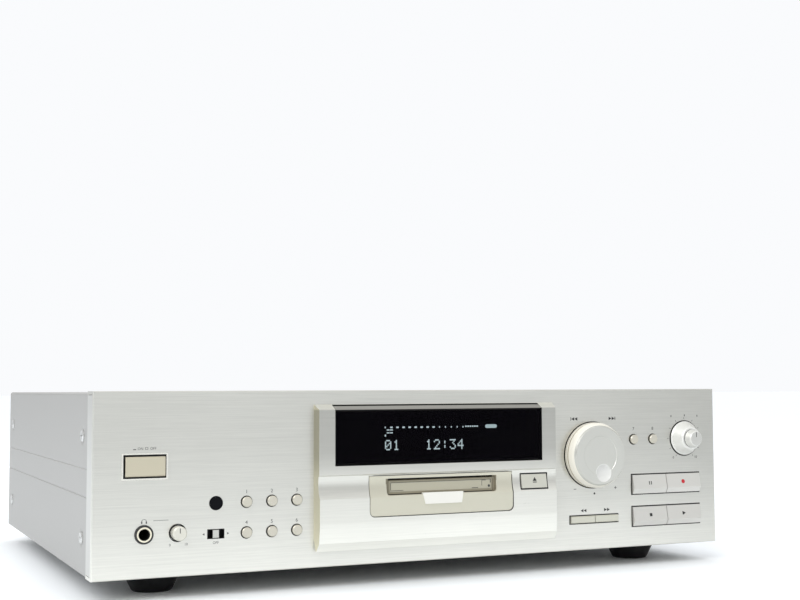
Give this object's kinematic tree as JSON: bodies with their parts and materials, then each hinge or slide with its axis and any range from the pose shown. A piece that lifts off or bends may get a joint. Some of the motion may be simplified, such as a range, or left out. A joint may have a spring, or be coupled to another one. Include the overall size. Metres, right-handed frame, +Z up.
{
  "type": "minidisc deck",
  "caption": "Full-width hi-fi minidisc recorder with a brushed front, slot loader, dark display window, jog dial, level knobs and push keys.",
  "frame": {"origin": "on the floor under the middle of the deck's own box", "axes": "+X to the right seen from the front, +Y from the front panel towards the rear, +Z up"},
  "size_m": [0.44, 0.37, 0.121],
  "materials": {
    "base_steel": "satin",
    "rear_paint": "satin",
    "cover_paint": "satin",
    "panel_aluminium": "satin",
    "cap_aluminium": "satin",
    "frame_plastic": "matte",
    "bezel_metallic": "satin",
    "window_smoke": "gloss",
    "escutcheon_metallic": "satin",
    "lip_white": "satin",
    "bright_trim": "bright",
    "sensor_black": "gloss",
    "foot_black": "matte",
    "foot_ring": "satin",
    "screw_steel": "satin",
    "jack_black": "satin",
    "switch_black": "matte",
    "tube_glass": "gloss",
    "board_laminate": "satin",
    "component_dark": "satin",
    "core_steel": "matte",
    "inlet_black": "matte",
    "socket_brass": "bright",
    "socket_plastic": "matte",
    "control_steel": "satin",
    "mech_steel": "satin",
    "post_brass": "satin",
    "motor_steel": "satin",
    "rod_steel": "bright",
    "power_gold": "satin",
    "small_knob": "satin",
    "timer_plastic": "satin",
    "key_metallic": "satin",
    "eject_metallic": "satin",
    "deck_metallic": "satin",
    "search_metallic": "satin",
    "shaft_steel": "satin",
    "jog_metallic": "satin",
    "knob_aluminium": "satin",
    "knob_bright": "bright",
    "flap_metallic": "satin",
    "holder_steel": "satin",
    "slider_plastic": "matte",
    "pinion_plastic": "matte",
    "sled_plastic": "matte",
    "screw_chrome": "bright",
    "turntable_plastic": "matte",
    "arm_steel": "satin"
  },
  "bodies": {
    "deck": {"chassis_base": "base_steel", "rear_panel": "rear_paint", "top_cover": "cover_paint", "front_panel": "panel_aluminium", "end_caps": "cap_aluminium", "front_subframe": "frame_plastic", "centre_bezel": "bezel_metallic", "display_window": "window_smoke", "slot_escutcheon": "escutcheon_metallic", "cartridge_lip": "lip_white", "power_bezel": "bright_trim", "ir_window": "sensor_black", "feet": "foot_black", "foot_rings": "foot_ring", "case_screws": "screw_steel", "phones_jack": "jack_black", "panel_switches": "switch_black", "display_tube": "tube_glass", "circuit_boards": "board_laminate", "board_parts": "component_dark", "power_transformer": "core_steel", "mains_inlet": "inlet_black", "phono_sockets": "socket_brass", "optical_sockets": "socket_plastic", "rotary_controls": "control_steel", "mech_frame": "mech_steel", "mech_posts": "post_brass", "drive_motors": "motor_steel", "guide_rod": "rod_steel"},
    "power_button": {"power_button": "power_gold"},
    "phones_level_knob": {"phones_level_knob": "small_knob"},
    "timer_slider": {"timer_slider": "timer_plastic"},
    "edit_key": {"edit_key": "key_metallic"},
    "title_input_key": {"title_input_key": "key_metallic"},
    "title_search_key": {"title_search_key": "key_metallic"},
    "record_input_key": {"record_input_key": "key_metallic"},
    "monitor_key": {"monitor_key": "key_metallic"},
    "fade_key": {"fade_key": "key_metallic"},
    "record_mode_key": {"record_mode_key": "key_metallic"},
    "enter_key": {"enter_key": "key_metallic"},
    "eject_button": {"eject_button": "eject_metallic"},
    "pause_button": {"pause_button": "deck_metallic"},
    "record_button": {"record_button": "deck_metallic"},
    "stop_button": {"stop_button": "deck_metallic"},
    "play_button": {"play_button": "deck_metallic"},
    "search_back_button": {"search_back_button": "search_metallic"},
    "search_forward_button": {"search_forward_button": "search_metallic"},
    "jog_shaft": {"jog_shaft": "shaft_steel"},
    "jog_dial": {"jog_dial": "jog_metallic"},
    "record_level_knob": {"record_level_knob": "knob_aluminium"},
    "balance_knob": {"balance_knob": "knob_bright"},
    "slot_flap": {"slot_flap": "flap_metallic"},
    "cartridge_holder": {"cartridge_holder": "holder_steel"},
    "loading_slider": {"loading_slider": "slider_plastic"},
    "loading_pinion": {"loading_pinion": "pinion_plastic"},
    "optical_sled": {"optical_sled": "sled_plastic"},
    "lead_screw": {"lead_screw": "screw_chrome"},
    "turntable": {"turntable": "turntable_plastic"},
    "head_arm": {"head_arm": "arm_steel"}
  },
  "joints": [
    {"name": "edit_key_push", "type": "slide", "parent": "deck", "child": "edit_key", "axis": [0, 1, 0], "range_m": [0, 0.001], "stiffness_N_per_m": 300, "springref_m": -0.001},
    {"name": "title_input_key_push", "type": "slide", "parent": "deck", "child": "title_input_key", "axis": [0, 1, 0], "range_m": [0, 0.001], "stiffness_N_per_m": 300, "springref_m": -0.001},
    {"name": "title_search_key_push", "type": "slide", "parent": "deck", "child": "title_search_key", "axis": [0, 1, 0], "range_m": [0, 0.001], "stiffness_N_per_m": 300, "springref_m": -0.001},
    {"name": "record_input_key_push", "type": "slide", "parent": "deck", "child": "record_input_key", "axis": [0, 1, 0], "range_m": [0, 0.001], "stiffness_N_per_m": 300, "springref_m": -0.001},
    {"name": "monitor_key_push", "type": "slide", "parent": "deck", "child": "monitor_key", "axis": [0, 1, 0], "range_m": [0, 0.001], "stiffness_N_per_m": 300, "springref_m": -0.001},
    {"name": "fade_key_push", "type": "slide", "parent": "deck", "child": "fade_key", "axis": [0, 1, 0], "range_m": [0, 0.001], "stiffness_N_per_m": 300, "springref_m": -0.001},
    {"name": "record_mode_key_push", "type": "slide", "parent": "deck", "child": "record_mode_key", "axis": [0, 1, 0], "range_m": [0, 0.001], "stiffness_N_per_m": 300, "springref_m": -0.001},
    {"name": "enter_key_push", "type": "slide", "parent": "deck", "child": "enter_key", "axis": [0, 1, 0], "range_m": [0, 0.001], "stiffness_N_per_m": 300, "springref_m": -0.001},
    {"name": "pause_button_push", "type": "slide", "parent": "deck", "child": "pause_button", "axis": [0, 1, 0], "range_m": [0, 0.0012], "stiffness_N_per_m": 400, "springref_m": -0.001},
    {"name": "record_button_push", "type": "slide", "parent": "deck", "child": "record_button", "axis": [0, 1, 0], "range_m": [0, 0.0012], "stiffness_N_per_m": 400, "springref_m": -0.001},
    {"name": "stop_button_push", "type": "slide", "parent": "deck", "child": "stop_button", "axis": [0, 1, 0], "range_m": [0, 0.0012], "stiffness_N_per_m": 400, "springref_m": -0.001},
    {"name": "play_button_push", "type": "slide", "parent": "deck", "child": "play_button", "axis": [0, 1, 0], "range_m": [0, 0.0012], "stiffness_N_per_m": 400, "springref_m": -0.001},
    {"name": "eject_button_push", "type": "slide", "parent": "deck", "child": "eject_button", "axis": [0, 1, 0], "range_m": [0, 0.0012], "stiffness_N_per_m": 400, "springref_m": -0.001},
    {"name": "search_back_button_push", "type": "slide", "parent": "deck", "child": "search_back_button", "axis": [0, 1, 0], "range_m": [0, 0.001], "stiffness_N_per_m": 300, "springref_m": -0.001},
    {"name": "search_forward_button_push", "type": "slide", "parent": "deck", "child": "search_forward_button", "axis": [0, 1, 0], "range_m": [0, 0.001], "stiffness_N_per_m": 300, "springref_m": -0.001},
    {"name": "power_button_push", "type": "slide", "parent": "deck", "child": "power_button", "axis": [0, 1, 0], "range_m": [0, 0.003], "stiffness_N_per_m": 300, "springref_m": -0.002},
    {"name": "jog_shaft_push", "type": "slide", "parent": "deck", "child": "jog_shaft", "axis": [0, 1, 0], "range_m": [0, 0.001], "stiffness_N_per_m": 900, "springref_m": -0.001},
    {"name": "jog_turn", "type": "hinge", "parent": "jog_shaft", "child": "jog_dial", "pos_m": [0.1171, -0.176, 0.0765], "axis": [0, 1, 0], "continuous": true},
    {"name": "record_level_turn", "type": "hinge", "parent": "deck", "child": "record_level_knob", "pos_m": [0.1939, -0.175, 0.08645], "axis": [0, 1, 0], "range_deg": [-150, 150]},
    {"name": "balance_turn", "type": "hinge", "parent": "deck", "child": "balance_knob", "pos_m": [0.1939, -0.181, 0.08645], "axis": [0, 1, 0], "range_deg": [-150, 150]},
    {"name": "phones_level_turn", "type": "hinge", "parent": "deck", "child": "phones_level_knob", "pos_m": [-0.17005, -0.174, 0.0383], "axis": [0, 1, 0], "range_deg": [-150, 150]},
    {"name": "timer_slide", "type": "slide", "parent": "deck", "child": "timer_slider", "axis": [1, 0, 0], "range_m": [-0.0022, 0.0022]},
    {"name": "flap_hinge", "type": "hinge", "parent": "deck", "child": "slot_flap", "pos_m": [0, -0.1744, 0.064], "axis": [1, 0, 0], "range_deg": [0, 80], "stiffness_Nm_per_rad": 0.002, "springref_deg": -22.92},
    {"name": "loading_slide", "type": "slide", "parent": "deck", "child": "loading_slider", "axis": [0, 1, 0], "range_m": [0, 0.012]},
    {"name": "holder_lift", "type": "slide", "parent": "deck", "child": "cartridge_holder", "axis": [0, 0, 1], "range_m": [-0.00501, 0]},
    {"name": "loading_pinion_turn", "type": "hinge", "parent": "deck", "child": "loading_pinion", "pos_m": [-0.0399, -0.111, 0.042], "axis": [1, 0, 0], "range_deg": [-138, 0]},
    {"name": "sled_slide", "type": "slide", "parent": "deck", "child": "optical_sled", "axis": [1, 0, 0], "range_m": [0, 0.016]},
    {"name": "lead_screw_turn", "type": "hinge", "parent": "deck", "child": "lead_screw", "pos_m": [0.04, -0.106, 0.0469], "axis": [1, 0, 0], "range_deg": [0, 2881]},
    {"name": "turntable_turn", "type": "hinge", "parent": "deck", "child": "turntable", "pos_m": [0, -0.121, 0.045], "axis": [0, 0, 1], "continuous": true},
    {"name": "head_arm_tilt", "type": "hinge", "parent": "optical_sled", "child": "head_arm", "pos_m": [0.055, -0.121, 0.0662], "axis": [0, 1, 0], "range_deg": [-12.1, 0]}
  ],
  "couplings": [
    {"joint": "holder_lift", "follows": "loading_slide", "ratio": -0.41667},
    {"joint": "loading_pinion_turn", "follows": "loading_slide", "rad_per_m": -200},
    {"joint": "head_arm_tilt", "follows": "loading_slide", "rad_per_m": -17.453},
    {"joint": "lead_screw_turn", "follows": "sled_slide", "rad_per_m": 3141.6}
  ]
}
